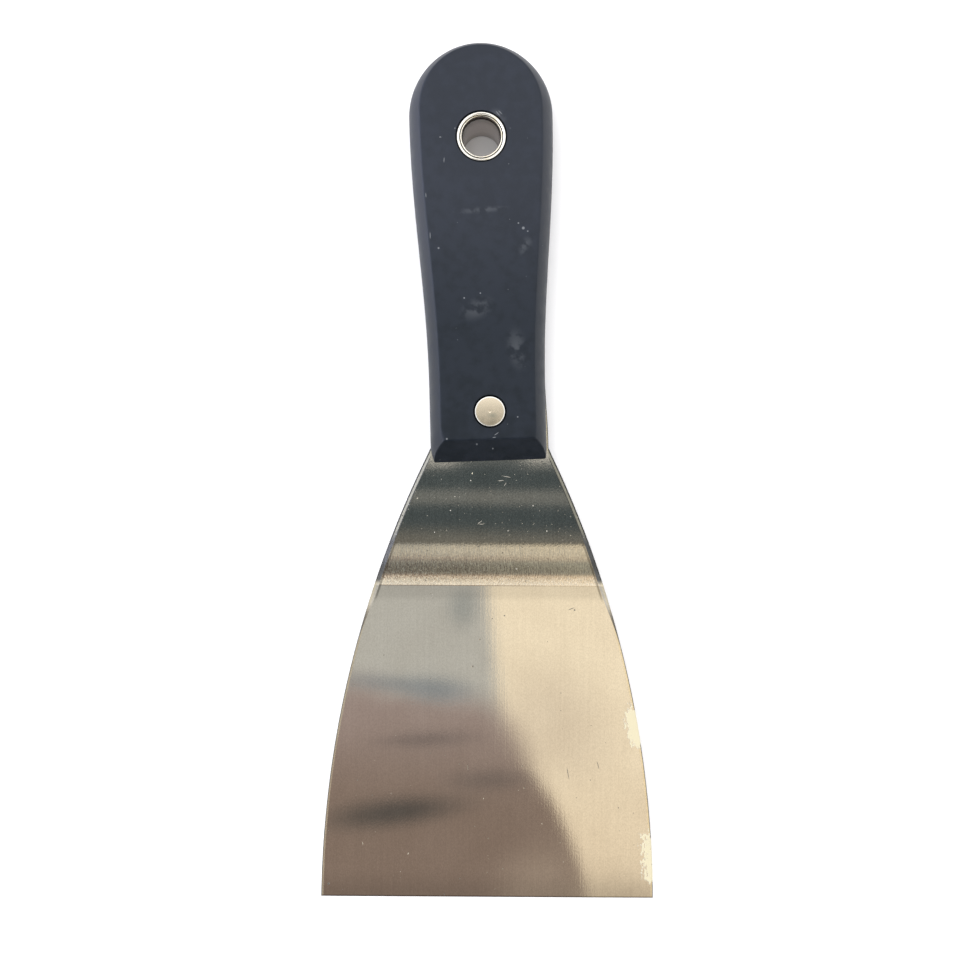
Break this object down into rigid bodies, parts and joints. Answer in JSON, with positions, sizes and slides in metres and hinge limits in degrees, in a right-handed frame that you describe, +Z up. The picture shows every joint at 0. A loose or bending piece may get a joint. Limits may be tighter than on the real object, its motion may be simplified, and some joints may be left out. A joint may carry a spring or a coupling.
{
  "type": "scraper",
  "caption": "Flat painter's scraper with a flared flexible steel blade, a full tang, a dark two-scale plastic handle, a brass hang eyelet and a flush brass rivet.",
  "frame": {"origin": "middle of the footprint, on the surface that the scraper lies on, which is the back scale's flat face", "axes": "+Y along the blade's axis from the working edge to the butt, +X across the blade, +Z up from the back scale to the front scale"},
  "size_m": [0.0762, 0.195, 0.016],
  "materials": {
    "blade_steel": "satin steel, brushed along its length, with fine pits and light scratches",
    "handle_plastic": "moulded blue-black plastic, matte, a little scuffed at the edges",
    "eyelet_brass": "bright pale brass plating",
    "rivet_brass": "pale brass, lightly tarnished flat head"
  },
  "bodies": {
    "root": {"blade": "blade_steel", "handle_scale_front": "handle_plastic", "handle_scale_back": "handle_plastic", "eyelet_front": "eyelet_brass", "eyelet_back": "eyelet_brass", "rivet_front": "rivet_brass", "rivet_back": "rivet_brass"}
  },
  "joints": []
}
